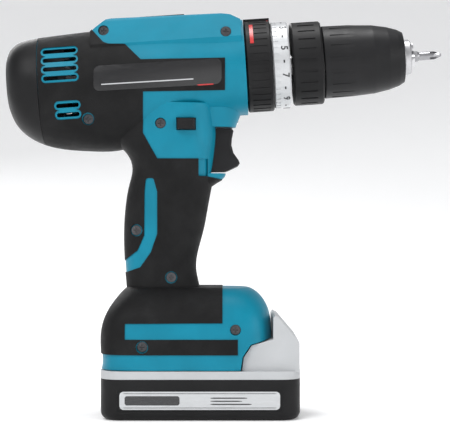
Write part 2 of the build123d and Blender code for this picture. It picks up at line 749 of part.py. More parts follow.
with BuildPart() as spindle_bearings:
    ring(12.5, 17.5, 6.05, 13.0)
    ring(43.0, 48.5, 6.05, 13.0)
save(spindle_bearings, "spindle_bearings")

with BuildPart() as hammer_cam:
    ring(20.0, 22.2, 7.0, 13.0)
    with BuildSketch(across(22.2)) as cam_teeth:
        with PolarLocations(10.2, 12):
            Rectangle(3.4, 2.4)
    extrude(cam_teeth.sketch, amount=1.2)
save(hammer_cam, "hammer_cam")

with BuildPart() as spindle:
    turn((5.0, 0), (5.0, 6.0), (25.4, 6.0), (25.4, 12.4), (28.5, 12.4), (28.5, 8.0), (34, 8.0), (34, 6.0),
         (70, 6.0), (71, 5.0), (71, 0))
    with BuildSketch(across(24.2)) as ratchet:
        with PolarLocations(10.2, 12):
            Rectangle(3.4, 2.4)
        Circle(6)
    extrude(ratchet.sketch, amount=1.4)
save(spindle, "spindle")

# ---------------------------------------------------------------- adjusting rings
with BuildPart() as mode_ring:
    rear, front = MODE_RING
    turn((rear, 23.5), (rear, 26.5), (rear + 0.8, 27.3), (front - 0.8, 27.3), (front, 26.6), (front, 23.5))
    with BuildSketch(across(30)) as mode_grip:
        with PolarLocations(27.5, 36):
            Rectangle(1.0, 2.2)
    extrude(mode_grip.sketch, amount=10.5, mode=Mode.SUBTRACT)
    with BuildSketch(across(rear)) as mode_pointer:
        with Locations((0, 27)):
            Rectangle(6, 3.4)
    extrude(mode_pointer.sketch, amount=front - rear)
    ring(26, 44, 0, 23.5, mode=Mode.SUBTRACT)
save(mode_ring, "mode_ring")

with BuildPart() as torque_ring:
    rear, front = TORQUE_RING
    turn((28, 21.75), (28, 23.2), (rear, 23.2), (rear, 25.4), (rear + 0.6, 26), (front - 0.8, 26), (front, 25.2),
         (front, 8), (50.6, 8), (50.6, 15.65), (42.5, 15.65), (42.5, 18.2), (49.5, 18.2), (49.5, 21.75))
    with BuildSketch(across(rear + 0.6)) as knurl:
        with PolarLocations(26.2, 40):
            Rectangle(1.0, 1.6)
    extrude(knurl.sketch, amount=2.8, mode=Mode.SUBTRACT)
save(torque_ring, "torque_ring")

# ---------------------------------------------------------------- chuck
JAW_TILT = 12.5
JAW_RADIUS = 3.6
JAW_ORBIT = 5.4  # how far a jaw's centre line is from the tool axis at JAW_GAUGE
JAW_GAUGE = 126.0
JAW_SPAN = (97.0, 128.6)
JAW_FACE = 3.2


def jaw_axis_plane(k):
    """A plane on jaw k's centre line at the gauge station, its normal pointing back along the jaw."""
    angle = 2 * math.pi * k / 3 + math.pi / 2
    outward = UPWARD * math.sin(angle) + Vector(0, 1, 0) * math.cos(angle)
    tilt = math.radians(JAW_TILT)
    back = outward * math.sin(tilt) - FORWARD * math.cos(tilt)
    return Plane(origin=at(JAW_GAUGE) + outward * JAW_ORBIT, x_dir=outward.cross(back), z_dir=back)


def jaw_bar(k, radius, ahead, behind, mode=Mode.ADD):
    """A round bar on jaw k's centre line."""
    with BuildSketch(jaw_axis_plane(k).offset(-ahead)) as profile:
        Circle(radius)
    extrude(profile.sketch, amount=ahead + behind, mode=mode)


with BuildPart() as chuck_body:
    turn((57.2, 6.05), (57.2, 17.0), (72.8, 17.0), (72.8, 19.2), (95.9, 19.2), (95.9, 14.0), (104.4, 14.0),
         (104.4, 15.8), (122.4, 12.5), (123.2, 10.7), (126.0, 10.5), (126.8, 9.6), (126.8, 6.7), (79, 6.7),
         (76, 4.0), (73, 4.0), (73, 6.05))
    for k in range(3):
        jaw_bar(k, JAW_RADIUS + 0.1, 4, 50, mode=Mode.SUBTRACT)
save(chuck_body, "chuck_body")

for k in range(3):
    with BuildPart() as jaw:
        jaw_bar(k, JAW_RADIUS, 6, 34)
        ring(JAW_SPAN[0] - 30, JAW_SPAN[0], 0, 40, mode=Mode.SUBTRACT)
        ring(JAW_SPAN[1], JAW_SPAN[1] + 20, 0, 40, mode=Mode.SUBTRACT)
        angle = 2 * math.pi * k / 3 + math.pi / 2
        with BuildSketch(across(60)) as grip_face:
            with Locations(Location((0, 0, 0), (0, 0, math.degrees(angle)))):
                with Locations((JAW_FACE - 20, 0)):
                    Rectangle(40, 40)
        extrude(grip_face.sketch, amount=80, mode=Mode.SUBTRACT)
        turn((125.6, 9.4), (129, 7.6), (129, 20), (125.6, 20), mode=Mode.SUBTRACT)
    save(jaw, f"jaw_{k + 1}")

with BuildPart() as chuck_nut:
    turn((97.4, 15.72), (97.4, 18.6), (103.0, 18.6), (103.0, 14.5))
save(chuck_nut, "chuck_nut")

with BuildPart() as chuck_ring:
    rear, front = CHUCK_RING
    turn((rear, 8), (rear, 24), (rear + 1, 25), (front - 1, 25), (front, 24.2), (front, 19.4), (72.6, 19.4),
         (72.6, 17.05), (57.1, 17.05), (57.1, 8))
    with BuildSketch(across(59)) as ring_grip:
        with PolarLocations(25.2, 24):
            Rectangle(1.2, 1.6)
    extrude(ring_grip.sketch, amount=10, mode=Mode.SUBTRACT)
save(chuck_ring, "chuck_ring")

with BuildPart() as chuck_sleeve:
    rear, front = CHUCK_SLEEVE
    turn((rear, 19.5), (rear, 21), (rear + 0.8, 21.8), (90, 21.5), (104, 20.6), (113, 18.9), (119, 17),
         (front - 0.2, 15.2), (front, 14.4), (front, 12.9), (104.9, 16.1), (104.9, 18.65), (96.4, 18.65),
         (96.4, 19.5))
    with BuildSketch(across(78)) as sleeve_grip:
        with PolarLocations(22.1, 18):
            Rectangle(1.5, 2.4)
    extrude(sleeve_grip.sketch, amount=24, mode=Mode.SUBTRACT)
save(chuck_sleeve, "chuck_sleeve")

HEX_HALF = 3.14
with BuildPart() as driver_bit:
    with BuildSketch(across(95)) as shank:
        RegularPolygon(HEX_HALF, 6, major_radius=False)
    extrude(shank.sketch, amount=36)
    turn((131, 0), (131, 3.1), (132.2, 2.5), (141, 2.5), (BIT_TIP - 0.6, 1.1), (BIT_TIP, 0.5), (BIT_TIP, 0))
    with BuildSketch(across(138.5)) as cross_flutes:
        with PolarLocations(2.75, 4, start_angle=45):
            Rectangle(3, 1.9)
    extrude(cross_flutes.sketch, amount=8, mode=Mode.SUBTRACT)
save(driver_bit, "driver_bit")

# ---------------------------------------------------------------- controls
with BuildPart() as trigger:
    side_slab([(5.6, 172.2), (18.6, 172.2), (19.6, 170.6), (18.7, 166), (18.4, 162), (19.6, 157.4),
               (22.6, 153.2), (23.4, 151.2), (22.2, 149.4), (16.5, 146.6), (14.6, 146.0), (5.6, 146.0)], 8.5, 8.5)
    front_edges = trigger.edges().filter_by(GeomType.LINE).filter_by(
        lambda e: abs(abs(e.center().Y) - 8.5) < 0.01 and e.center().X > 15)
    fillet(front_edges, 1.8)
    with BuildSketch(Plane(origin=(-5.5, 0, 158), x_dir=(0, 1, 0), z_dir=(1, 0, 0))) as rod:
        Circle(2.9)
    extrude(rod.sketch, amount=12)
save(trigger, "trigger")

with BuildPart() as switch_body:
    block((-31, -1.6), (-10.8, 10.8), (146, 168))
    fillet(switch_body.edges().filter_by(Axis.Y), 1.5)
    with BuildSketch(Plane(origin=(-1, 0, 158), x_dir=(0, 1, 0), z_dir=(-1, 0, 0))) as rod_bore:
        Circle(3.1)
    extrude(rod_bore.sketch, amount=16, mode=Mode.SUBTRACT)
save(switch_body, "switch_body")

with BuildPart() as reverse_lever:
    block(REVERSE_LEVER[0], (-27.6, 27.6), REVERSE_LEVER[1])
    ends = reverse_lever.edges().filter_by(lambda e: abs(e.center().Y) > 27.5)
    fillet(ends, 1.2)
save(reverse_lever, "reverse_lever")

KNOB_LENGTH = SPEED_SLOT[1] - SPEED_SLOT[0] - SPEED_TRAVEL - 2
with BuildPart() as speed_lever:
    with BuildSketch(across(SPEED_SLOT[0] + 1)) as lever_knob:
        with Locations((0, 31.3)):
            Rectangle(10.4, 5.6)
    extrude(lever_knob.sketch, amount=KNOB_LENGTH)
    with BuildSketch(across(SPEED_SLOT[0] + 4)) as thumb_grooves:
        with Locations((0, 34.5)):
            Rectangle(8, 1.6)
    for groove in range(5):
        extrude(thumb_grooves.sketch.moved(Location(FORWARD * 4 * groove)), amount=1.6, mode=Mode.SUBTRACT)
    with BuildSketch(across(SPEED_SLOT[0] - 2.4)) as lever_plate:
        with Locations((0, 27.8)):
            Rectangle(14.6, 1.8)
    extrude(lever_plate.sketch, amount=KNOB_LENGTH + 3)
    with BuildSketch(across(-14.6)) as lever_arm:
        with Locations((0, 27.2)):
            Rectangle(5.4, 3)
    extrude(lever_arm.sketch, amount=4)
    with BuildSketch(across(-12.2)) as fork:
        Circle(21.2)
        Circle(20.3, mode=Mode.SUBTRACT)
        with Locations((0, 40)):
            Rectangle(60, 60, mode=Mode.INTERSECT)
    extrude(fork.sketch, amount=1.6)
    with BuildSketch(across(-12.2)) as fork_stem:
        with Locations((0, 24.7)):
            Rectangle(5.4, 7.8)
    extrude(fork_stem.sketch, amount=1.6)
save(speed_lever, "speed_lever")

with BuildPart() as led_lens:
    with BuildSketch(Plane(origin=(18, 0, LAMP_HEIGHT), x_dir=(0, 1, 0), z_dir=(1, 0, 0))) as lens:
        Circle(3.2)
    extrude(lens.sketch, amount=4.6)
    chamfer(led_lens.faces().sort_by(Axis.X)[-1].edges(), 0.6)
save(led_lens, "led_lens")

with BuildPart() as case_screws:
    for x, z, seat in CASE_SCREWS:
        reach = -12.3 if seat == CASE_SCREWS[0][2] else SCREW_REACH
        cross_pin(x, z, -seat - 2.0, -seat, SCREW_HEAD)
        cross_pin(x, z, -seat, reach, SCREW_SHANK)
        for turned in (0, 90):
            with BuildSketch(Plane(origin=(x, -seat - 3, z), x_dir=(1, 0, 0), z_dir=(0, 1, 0))) as recess:
                Rectangle(3.2, 0.8, rotation=turned)
            extrude(recess.sketch, amount=2.4, mode=Mode.SUBTRACT)
save(case_screws, "case_screws")

# ---------------------------------------------------------------- wiring and terminals
BLADE_SPOTS = (-8.0, 8.0)
with BuildPart() as terminal_block:
    block((TERMINAL_BLOCK[0][0] + 0.1, TERMINAL_BLOCK[0][1] - 0.1), (-12.9, 12.9), TERMINAL_BLOCK[2])
    fillet(terminal_block.edges().filter_by(Axis.Z), 1.5)
    for y in BLADE_SPOTS:
        block((-26, -11), (y - 0.5, y + 0.5), (33.9, 38))
save(terminal_block, "terminal_block")


def wire(*path):
    """A round insulated lead along a run of points."""
    with BuildPart(mode=Mode.PRIVATE) as lead:
        with BuildLine() as run:
            FilletPolyline(*path, radius=2.0)
        with BuildSketch(Plane(origin=run.line @ 0, z_dir=run.line % 0)):
            Circle(1.1)
        sweep(path=run.line)
    return lead.part


with BuildPart() as wiring:
    for side in (-1, 1):
        add(wire((-26.5, side * 3, 46.05), (-26.5, side * 3.5, 96),
                 (-26.5, side * 3, 145.95)))
        add(wire((-31.1, side * 8, 165.2), (-34.2, side * 8, 165.2), (-36.6, side * 8, 170.5),
                 (-79, side * 8, 170.5), (-86.0, side * 6, 176.1)))
save(wiring, "wiring")

# ---------------------------------------------------------------- battery pack
CELL_RADIUS = 9.1
CELL_PITCH = 18.8
PACK_WALL = 2.2
PACK_SCREWS = [(x, y) for x in (-51.4, 51.4) for y in (-26.5, 26.5)]
PACK_FRONT = [(24.4, 28.9), (25.6, 36.9), (30.2, 43.8), (40.9, 46.8), (42.8, 47.2), (42.8, 59.8), (44.0, 61.2),
              (46.4, 60.0), (57.0, 47.6), (58.2, 45.4), (58.2, 28.0), (24.4, 28.0)]
PACK_FRONT_INSIDE = [(28.2, 24), (28.2, 35.6), (32.2, 41.4), (44.4, 44.6), (45.2, 56.4), (54.6, 45.6), (55.6, 44.4),
                     (55.6, 24)]
TONGUE_TOP = 36.5

with BuildPart() as battery_base:
    with BuildSketch() as footprint:
        RectangleRounded(2 * PACK_HALF_LENGTH, 2 * PACK_HALF_WIDTH, 12)
    extrude(footprint.sketch, amount=PACK_SPLIT)
    fillet(battery_base.faces().sort_by(Axis.Z)[0].edges(), 5)
    with BuildSketch(Plane.XY.offset(PACK_WALL)) as pack_room:
        RectangleRounded(2 * (PACK_HALF_LENGTH - PACK_WALL), 2 * (PACK_HALF_WIDTH - PACK_WALL), 12 - PACK_WALL)
    extrude(pack_room.sketch, amount=PACK_SPLIT, mode=Mode.SUBTRACT)
    for x, y in PACK_SCREWS:
        with BuildSketch(Plane.XY.offset(0.6)) as post:
            with Locations((x, y)):
                Circle(4.2)
        extrude(post.sketch, amount=PACK_SPLIT - 0.7)
        with BuildSketch() as head_way:
            with Locations((x, y)):
                Circle(SCREW_HEAD + GAP)
        extrude(head_way.sketch, amount=6, mode=Mode.SUBTRACT)
        with BuildSketch() as shank_way:
            with Locations((x, y)):
                Circle(SCREW_SHANK + FIT)
        extrude(shank_way.sketch, amount=30, mode=Mode.SUBTRACT)
    for side in (-1, 1):
        block((-48.4, 48.0), (min(side * 37.5, side * 37.1), max(side * 37.5, side * 37.1)), (5.6, 18.0),
              mode=Mode.SUBTRACT)
save(battery_base, "battery_base")

with BuildPart() as battery_top:
    with BuildSketch(Plane.XY.offset(PACK_SPLIT)) as lid:
        RectangleRounded(2 * PACK_HALF_LENGTH, 2 * PACK_HALF_WIDTH, 12)
    extrude(lid.sketch, amount=28.9 - PACK_SPLIT)
    with BuildSketch(Plane.XZ) as hump_side:
        with BuildLine():
            Polyline(*PACK_FRONT, close=True)
        make_face()
    extrude(hump_side.sketch, amount=33, both=True)
    slope_edges = battery_top.edges().filter_by(
        lambda e: abs(abs(e.center().Y) - 33) < 0.01 and 46.5 < e.center().X < 57.5 and e.center().Z > 40)
    fillet(slope_edges, 2)
    block((-49.3, 26), (-DOCK_NECK + GAP, DOCK_NECK - GAP), (28.5, TONGUE_TOP))
    block((-49.3, 26), (-DOCK_HALF + GAP, DOCK_HALF - GAP), (DOCK_LIP + GAP, TONGUE_TOP))
    side_slab(PACK_FRONT_INSIDE, 29.5, 29.5, mode=Mode.SUBTRACT)
    with BuildSketch(Plane.XY.offset(PACK_SPLIT - 1)) as lid_room:
        RectangleRounded(2 * (PACK_HALF_LENGTH - 2.4), 2 * (PACK_HALF_WIDTH - 2.4), 9.6)
    extrude(lid_room.sketch, amount=2.8, mode=Mode.SUBTRACT)
    for x, y in PACK_SCREWS:
        with BuildSketch(Plane.XY.offset(PACK_SPLIT)) as lid_post:
            with Locations((x, y)):
                Circle(3.4)
        extrude(lid_post.sketch, amount=3)
        with BuildSketch(Plane.XY.offset(PACK_SPLIT - 1)) as lid_pilot:
            with Locations((x, y)):
                Circle(SCREW_SHANK + FIT)
        extrude(lid_pilot.sketch, amount=4, mode=Mode.SUBTRACT)
    for y in BLADE_SPOTS:
        block((-60, -9), (y - 1.3, y + 1.3), (33.0, 40), mode=Mode.SUBTRACT)
    block((50, 60), (-13.3, 13.3), (29.4, 44.2), mode=Mode.SUBTRACT)
    block((30.6, 37.2), (-5.4, 5.4), (38, 50), mode=Mode.SUBTRACT)
save(battery_top, "battery_top")

with BuildPart() as battery_cells:
    for k in range(5):
        cross_pin((k - 2) * CELL_PITCH, 11.9, -32.5, 32.5, CELL_RADIUS)
        cross_pin((k - 2) * CELL_PITCH, 11.9, 32.5, 33.3, 3.0)
save(battery_cells, "battery_cells")

with BuildPart() as battery_terminals:
    for y in BLADE_SPOTS:
        block((-30, -9.2), (y - 1.2, y + 1.2), (33.0, 33.5))
        for side in (-1, 1):
            flank = y + side * 0.95
            block((-24, -12), (flank - 0.22, flank + 0.22), (33.5, 36.2))
save(battery_terminals, "battery_terminals")

with BuildPart() as release_button:
    block((54.0, 57.6), (-12.9, 12.9), (35.0, 43.8))
    fillet(release_button.edges().filter_by(Axis.Z), 1.2)
    for z in (37.4, 39.6, 41.8):
        block((57.0, 58), (-9, 9), (z - 0.5, z + 0.5), mode=Mode.SUBTRACT)
    block((48.5, 54.5), (-12.0, 12.0), (35.4, 38.4))
    block((31.0, 49.0), (-5.0, 5.0), (35.4, 38.4))
    side_slab([(31.0, 36), (36.8, 36), (36.8, 48.6), (34.8, 50.6), (31.0, 50.6)], 5.0, 5.0)
save(release_button, "release_button")

with BuildPart() as battery_screws:
    for x, y in PACK_SCREWS:
        with BuildSketch(Plane.XY.offset(4.0)) as screw_head:
            with Locations((x, y)):
                Circle(SCREW_HEAD)
        extrude(screw_head.sketch, amount=2.0)
        with BuildSketch(Plane.XY.offset(6.0)) as screw_shank:
            with Locations((x, y)):
                Circle(SCREW_SHANK)
        extrude(screw_shank.sketch, amount=20.6)
        with BuildSketch(Plane.XY.offset(4.0)) as screw_slot:
            with Locations((x, y)):
                Rectangle(3.2, 0.8)
                Rectangle(0.8, 3.2)
        extrude(screw_slot.sketch, amount=1.2, mode=Mode.SUBTRACT)
save(battery_screws, "battery_screws")
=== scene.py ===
"""Looks of the cordless hammer driver-drill: materials, labels, ring markings, light and camera.

Everything is in metres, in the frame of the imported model: +X towards the bit, +Z up, origin under the pack.
"""

import json
import math

import bmesh
import bpy
from mathutils import Matrix, Vector
from mathutils.bvhtree import BVHTree


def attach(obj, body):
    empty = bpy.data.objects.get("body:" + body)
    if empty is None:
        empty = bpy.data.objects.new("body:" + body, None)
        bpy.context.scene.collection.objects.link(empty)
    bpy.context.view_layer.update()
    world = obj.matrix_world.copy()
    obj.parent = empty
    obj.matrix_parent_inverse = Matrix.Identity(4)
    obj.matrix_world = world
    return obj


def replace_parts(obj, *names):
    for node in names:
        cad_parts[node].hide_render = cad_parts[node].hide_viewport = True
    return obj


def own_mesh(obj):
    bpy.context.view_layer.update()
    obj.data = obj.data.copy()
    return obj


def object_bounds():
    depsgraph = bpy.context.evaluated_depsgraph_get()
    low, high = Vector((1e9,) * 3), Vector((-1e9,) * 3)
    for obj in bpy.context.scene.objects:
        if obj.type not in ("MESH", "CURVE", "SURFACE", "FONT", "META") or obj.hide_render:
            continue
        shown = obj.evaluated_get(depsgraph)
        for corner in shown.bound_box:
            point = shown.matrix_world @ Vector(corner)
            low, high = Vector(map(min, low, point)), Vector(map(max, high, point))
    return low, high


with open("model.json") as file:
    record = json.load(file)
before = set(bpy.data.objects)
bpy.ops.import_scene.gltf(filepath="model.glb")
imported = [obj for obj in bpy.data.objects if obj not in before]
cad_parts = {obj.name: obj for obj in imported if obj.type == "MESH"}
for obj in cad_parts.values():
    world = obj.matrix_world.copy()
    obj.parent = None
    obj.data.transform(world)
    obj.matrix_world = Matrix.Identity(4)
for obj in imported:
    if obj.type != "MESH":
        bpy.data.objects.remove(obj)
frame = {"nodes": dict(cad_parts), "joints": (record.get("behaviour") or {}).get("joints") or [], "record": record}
CAD_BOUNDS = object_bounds()

MM = 0.001

# ---------------------------------------------------------------- the tool axis, from the spindle's joint
SPIN = next(j for j in frame["joints"] if j["name"] == "spindle_spin")
FORWARD = Vector(SPIN["axis"]).normalized()
LEFT = Vector((0, 1, 0))
UPWARD = FORWARD.cross(LEFT)
AXIS_POINT = Vector(SPIN["pos_m"])


def on_axis(station, rise=0.0, left=0.0):
    """The point at a station of the tool axis, in mm, that far above it and to its left."""
    return AXIS_POINT + (FORWARD * station + UPWARD * rise + LEFT * left) * MM


# ---------------------------------------------------------------- materials
class Nodes:
    """A short way to build one material's node tree around a Principled shader."""

    def __init__(self, name):
        self.material = bpy.data.materials.new(name)
        self.material.use_nodes = True
        self.tree = self.material.node_tree
        self.shader = self.tree.nodes["Principled BSDF"]
        self.place = self.add("ShaderNodeTexCoord").outputs["Object"]

    def add(self, kind, **values):
        node = self.tree.nodes.new(kind)
        for key, value in values.items():
            setattr(node, key, value)
        return node

    def link(self, a, b):
        self.tree.links.new(a, b)

    def noise(self, scale, detail=4.0, rough=0.55, stretch=None):
        """Noise of a given scale per metre, stretched along the tool if asked."""
        node = self.add("ShaderNodeTexNoise")
        node.inputs["Scale"].default_value = scale
        node.inputs["Detail"].default_value = detail
        node.inputs["Roughness"].default_value = rough
        source = self.place
        if stretch:
            mapping = self.add("ShaderNodeMapping")
            mapping.inputs["Rotation"].default_value = (0, math.asin(FORWARD.z), 0)
            mapping.inputs["Scale"].default_value = stretch
            self.link(self.place, mapping.inputs["Vector"])
            source = mapping.outputs["Vector"]
        self.link(source, node.inputs["Vector"])
        return node.outputs["Fac"]

    def cells(self, scale):
        """Small rounded cells, as on a textured moulding."""
        node = self.add("ShaderNodeTexVoronoi")
        node.inputs["Scale"].default_value = scale
        self.link(self.place, node.inputs["Vector"])
        return node.outputs["Distance"]

    def ramp(self, value, stops):
        """A colour ramp over a value; stops are (position, colour)."""
        node = self.add("ShaderNodeValToRGB")
        ramp = node.color_ramp
        while len(ramp.elements) < len(stops):
            ramp.elements.new(0.5)
        for element, (position, colour) in zip(ramp.elements, stops):
            element.position = position
            element.color = (*colour, 1.0)
        self.link(value, node.inputs["Fac"])
        return node.outputs["Color"]

    def spread(self, value, low, high):
        """Maps 0.25..0.75 of a noise to a range."""
        node = self.add("ShaderNodeMapRange")
        node.inputs["From Min"].default_value = 0.25
        node.inputs["From Max"].default_value = 0.75
        node.inputs["To Min"].default_value = low
        node.inputs["To Max"].default_value = high
        self.link(value, node.inputs["Value"])
        return node.outputs["Result"]

    def bump(self, *layers):
        """Stacks (height, strength, distance) layers into the shader's normal."""
        normal = None
        for height, strength, distance in layers:
            node = self.add("ShaderNodeBump")
            node.inputs["Strength"].default_value = strength
            node.inputs["Distance"].default_value = distance
            self.link(height, node.inputs["Height"])
            if normal:
                self.link(normal, node.inputs["Normal"])
            normal = node.outputs["Normal"]
        self.link(normal, self.shader.inputs["Normal"])


def shade(colour, amount):
    """A colour made lighter or darker by a factor."""
    return tuple(min(1.0, c * amount) for c in colour)


def moulded(name, colour, rough=(0.38, 0.52), grain=2600, grain_depth=0.05, variation=0.12, specular=0.18):
    """Injection-moulded plastic: fine spark grain, faint flow variation and handling smudges."""
    n = Nodes(name)
    blotch = n.noise(38, 5)
    tint = n.ramp(blotch, [(0.3, shade(colour, 1 - variation)), (0.55, colour),
                           (0.75, shade(colour, 1 + variation))])
    n.link(tint, n.shader.inputs["Base Color"])
    n.link(n.spread(n.noise(120, 6, 0.65), *rough), n.shader.inputs["Roughness"])
    n.shader.inputs["Specular IOR Level"].default_value = specular
    n.bump((n.noise(grain, 3), 0.35, grain_depth * MM), (n.noise(160, 3), 0.06, 0.2 * MM))
    return n.material


def soft_rubber(name, colour):
    """Soft grip: leather-like cells, dull, with paler rubbed places."""
    n = Nodes(name)
    tint = n.ramp(n.noise(45, 6, 0.6), [(0.3, shade(colour, 0.72)), (0.5, colour),
                                       (0.72, shade(colour, 1.55))])
    n.link(tint, n.shader.inputs["Base Color"])
    n.link(n.spread(n.noise(140, 6, 0.65), 0.5, 0.72), n.shader.inputs["Roughness"])
    n.shader.inputs["Specular IOR Level"].default_value = 0.13
    n.bump((n.cells(1500), 0.5, 0.12 * MM), (n.noise(5200, 2), 0.25, 0.05 * MM))
    return n.material


def metal(name, colour, rough=(0.22, 0.4), brushed=(1, 1, 1), depth=0.02):
    """Machined or ground metal; brushed gives the stretch of its tool marks."""
    n = Nodes(name)
    n.shader.inputs["Metallic"].default_value = 1.0
    wide = n.noise(60, 6, 0.6)
    dark = shade(colour, 0.78)
    tint = n.ramp(wide, [(0.3, dark), (0.5, colour), (0.75, shade(colour, 1.08))])
    n.link(tint, n.shader.inputs["Base Color"])
    marks = n.noise(900, 4, 0.6, stretch=brushed)
    n.link(n.spread(marks, *rough), n.shader.inputs["Roughness"])
    n.bump((marks, 0.25, depth * MM))
    return n.material


def lacquer(name, colour, flake=0.35):
    """Silver paint over plastic, with a fine flake."""
    n = Nodes(name)
    n.shader.inputs["Metallic"].default_value = flake
    flecks = n.noise(4200, 2)
    n.link(n.ramp(flecks, [(0.35, shade(colour, 0.88)), (0.5, colour), (0.7, shade(colour, 1.12))]),
           n.shader.inputs["Base Color"])
    n.link(n.spread(n.noise(150, 5), 0.28, 0.42), n.shader.inputs["Roughness"])
    n.shader.inputs["Coat Weight"].default_value = 0.25
    n.shader.inputs["Coat Roughness"].default_value = 0.25
    n.bump((flecks, 0.12, 0.02 * MM), (n.noise(200, 3), 0.05, 0.15 * MM))
    return n.material


def printed(name, colour, rough=(0.2, 0.34)):
    """Printed label film: smooth, glossy, faintly uneven, with hairline scuffs."""
    n = Nodes(name)
    scuffs = n.noise(700, 5, 0.7, stretch=(0.15, 1, 1))
    n.link(n.ramp(scuffs, [(0.3, shade(colour, 0.9)), (0.6, colour), (0.8, shade(colour, 1.12))]),
           n.shader.inputs["Base Color"])
    n.link(n.spread(scuffs, *rough), n.shader.inputs["Roughness"])
    n.bump((n.noise(90, 2), 0.08, 0.1 * MM))
    return n.material


def clear_lens(name):
    """The work light's clear moulding with a faint cloudiness."""
    n = Nodes(name)
    n.link(n.ramp(n.noise(500, 3), [(0.3, (0.80, 0.86, 0.88)), (0.7, (0.94, 0.97, 0.98))]),
           n.shader.inputs["Base Color"])
    n.link(n.spread(n.noise(900, 3), 0.05, 0.16), n.shader.inputs["Roughness"])
    n.shader.inputs["Transmission Weight"].default_value = 0.7
    n.shader.inputs["IOR"].default_value = 1.49
    n.bump((n.noise(800, 2), 0.1, 0.05 * MM))
    return n.material


def wound(name, colour):
    """Enamelled copper wire, seen as fine strands along the tool, with painted shade in the grooves between
    strands and a painted highlight on their crowns.
    """
    n = Nodes(name)
    n.shader.inputs["Metallic"].default_value = 0.85
    strands = n.add("ShaderNodeTexWave", wave_type="BANDS", bands_direction="Z")
    strands.inputs["Scale"].default_value = 420
    strands.inputs["Distortion"].default_value = 2.5
    n.link(n.place, strands.inputs["Vector"])
    height = strands.outputs["Fac"]
    # painted shade and highlight: the colour runs dark in each strand's groove and light on its crown
    n.link(n.ramp(height, [(0.1, shade(colour, 0.45)), (0.6, colour), (0.95, shade(colour, 1.2))]),
           n.shader.inputs["Base Color"])
    n.link(n.spread(n.noise(400, 4), 0.25, 0.4), n.shader.inputs["Roughness"])
    n.bump((height, 0.5, 0.2 * MM))
    return n.material


TEAL = (0.002, 0.180, 0.270)
BLACK = (0.008, 0.008, 0.0085)
TURNED = (0.08, 1, 1)

MATERIALS = {
    "teal_plastic": moulded("teal_shell", TEAL, rough=(0.34, 0.48)),
    "black_plastic": moulded("black_moulding", BLACK, rough=(0.4, 0.56), variation=0.3),
    "soft_grip": soft_rubber("soft_grip", (0.008, 0.008, 0.0083)),
    "grey_plastic": moulded("grey_moulding", (0.43, 0.44, 0.45), rough=(0.42, 0.55), variation=0.06),
    "silver_plastic": lacquer("silver_lacquer", (0.50, 0.51, 0.52)),
    "dark_steel": metal("black_oxide_steel", (0.09, 0.09, 0.095), rough=(0.35, 0.5)),
    "steel": metal("ground_steel", (0.56, 0.56, 0.57), brushed=TURNED),
    "cast_alloy": metal("cast_alloy", (0.50, 0.51, 0.52), rough=(0.4, 0.6), depth=0.12),
    "brass": metal("brass", (0.70, 0.50, 0.20), brushed=TURNED),
    "copper": wound("enamelled_copper", (0.62, 0.24, 0.10)),
    "carbon": moulded("carbon_block", (0.035, 0.035, 0.036), rough=(0.5, 0.65), variation=0.3),
    "magnet": moulded("ferrite", (0.05, 0.05, 0.055), rough=(0.5, 0.7), grain_depth=0.1, variation=0.25),
    "lens": clear_lens("lens_clear"),
    "cell_wrap": printed("cell_film", (0.03, 0.16, 0.10)),
    "wire_cover": printed("wire_cover", (0.35, 0.015, 0.012), rough=(0.3, 0.45)),
    "inner_plastic": moulded("filled_nylon", (0.07, 0.07, 0.075), rough=(0.45, 0.62), variation=0.2),
}
NODE_MATERIALS = {
    "chuck_sleeve": moulded("chuck_moulding", (0.013, 0.013, 0.014), rough=(0.36, 0.5), variation=0.3),
    "trigger": moulded("trigger_moulding", (0.010, 0.010, 0.011), rough=(0.3, 0.45), variation=0.3),
    "chuck_body": metal("chuck_steel", (0.50, 0.50, 0.51), rough=(0.3, 0.45), brushed=TURNED),
    "driver_bit": metal("bit_steel", (0.30, 0.30, 0.31), rough=(0.28, 0.42), brushed=TURNED),
}
SMOOTH_ANGLE = math.radians(28)

for part in frame["record"]["subparts"]:
    node = frame["nodes"][part["node"]]
    node.data.materials.clear()
    node.data.materials.append(NODE_MATERIALS.get(part["node"]) or MATERIALS[part["material_slot"]])
    node.data.shade_smooth()
    node.data.set_sharp_from_angle(angle=SMOOTH_ANGLE)


def new_object(name, mesh, material, smooth_angle=None):
    """Turns a finished bmesh into a linked object with one material."""
    bmesh.ops.recalc_face_normals(mesh, faces=mesh.faces)
    data = bpy.data.meshes.new(name)
    mesh.to_mesh(data)
    mesh.free()
    data.materials.append(material)
    if smooth_angle is not None:
        data.shade_smooth()
        data.set_sharp_from_angle(angle=smooth_angle)
    obj = bpy.data.objects.new(name, data)
    bpy.context.scene.collection.objects.link(obj)
    return obj


# ---------------------------------------------------------------- labels laid on the curved flanks
FLANK_REACH = 0.2  # further out than any flank
FALLBACK = 0.02  # where a film lies if a ray finds no flank
FILM_EDGE = math.radians(40)


def surface_of(*names):
    """A search tree over the faces of some CAD nodes."""
    points, faces = [], []
    for name in names:
        mesh = frame["nodes"][name].data
        first = len(points)
        points += [v.co.copy() for v in mesh.vertices]
        faces += [[first + i for i in p.vertices] for p in mesh.polygons]
    return BVHTree.FromPolygons(points, faces)


